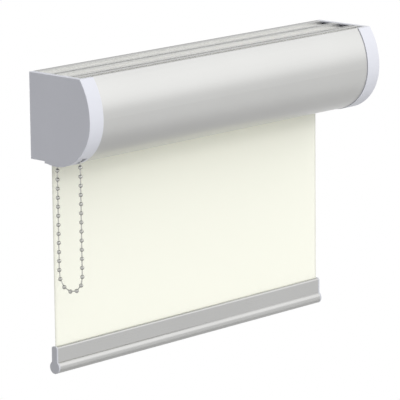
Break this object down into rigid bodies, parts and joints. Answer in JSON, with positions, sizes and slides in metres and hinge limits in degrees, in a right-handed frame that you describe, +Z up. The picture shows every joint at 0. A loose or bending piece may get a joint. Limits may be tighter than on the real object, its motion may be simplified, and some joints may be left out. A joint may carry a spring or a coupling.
{
  "type": "cassette roller blind",
  "caption": "Cassette roller blind: cloth on a chain-driven tube in an aluminium cassette with moulded end caps and a keyhole bottom bar.",
  "frame": {"origin": "on the wall plane, in the middle of the line of wall screws in the mounting profile's rear wall", "axes": "+X along the roller away from the chain end, +Y into the wall, +Z up"},
  "size_m": [0.447, 0.0875, 0.3201],
  "materials": {
    "anodised_aluminium": "satin",
    "mill_aluminium": "satin",
    "cap_plastic": "satin",
    "bar_cap_plastic": "satin",
    "clutch_plastic": "matte",
    "plug_plastic": "matte",
    "clear_plastic": "gloss",
    "zinc_steel": "satin",
    "spring_steel": "satin",
    "chain_metal": "polished",
    "cloth": "matte"
  },
  "bodies": {
    "cassette": {"mounting_profile": "anodised_aluminium", "fascia": "anodised_aluminium", "end_cap_left": "cap_plastic", "end_cap_right": "cap_plastic", "bracket_left": "zinc_steel", "bracket_right": "zinc_steel", "bracket_screws": "zinc_steel", "clutch_body": "clutch_plastic", "chain_guard": "clutch_plastic", "core_clip": "spring_steel", "idler_bush": "clutch_plastic", "chain_balls": "chain_metal", "chain_links": "chain_metal"},
    "roller": {"tube": "mill_aluminium", "tube_spline": "clear_plastic", "fabric_roll": "cloth", "drive_adapter": "plug_plastic", "chain_wheel": "clutch_plastic", "wrap_spring": "spring_steel", "idler_plug": "plug_plastic", "spring_seat": "plug_plastic", "idler_spring": "spring_steel"},
    "idler_pin": {"idler_pin": "zinc_steel"},
    "bottom_bar": {"bar_profile": "anodised_aluminium", "bar_cap_left": "bar_cap_plastic", "bar_cap_right": "bar_cap_plastic", "bar_strip": "clear_plastic", "fabric_drop": "cloth"}
  },
  "joints": [
    {"name": "roller_turn", "type": "hinge", "parent": "cassette", "child": "roller", "pos_m": [0, -0.0437, -0.0272], "axis": [1, 0, 0], "range_deg": [-1718, 342], "deforming": ["chain_balls", "chain_links"]},
    {"name": "bar_lift", "type": "slide", "parent": "cassette", "child": "bottom_bar", "axis": [0, 0, 1], "range_m": [-1, 0.199], "deforming": ["fabric_drop"]},
    {"name": "idler_pin_push", "type": "slide", "parent": "roller", "child": "idler_pin", "axis": [1, 0, 0], "range_m": [-0.007, 0], "stiffness_N_per_m": 500, "springref_m": 0.006, "deforming": ["idler_spring"]}
  ],
  "couplings": [
    {"joint": "bar_lift", "follows": "roller_turn", "m_per_rad": 0.03333}
  ]
}
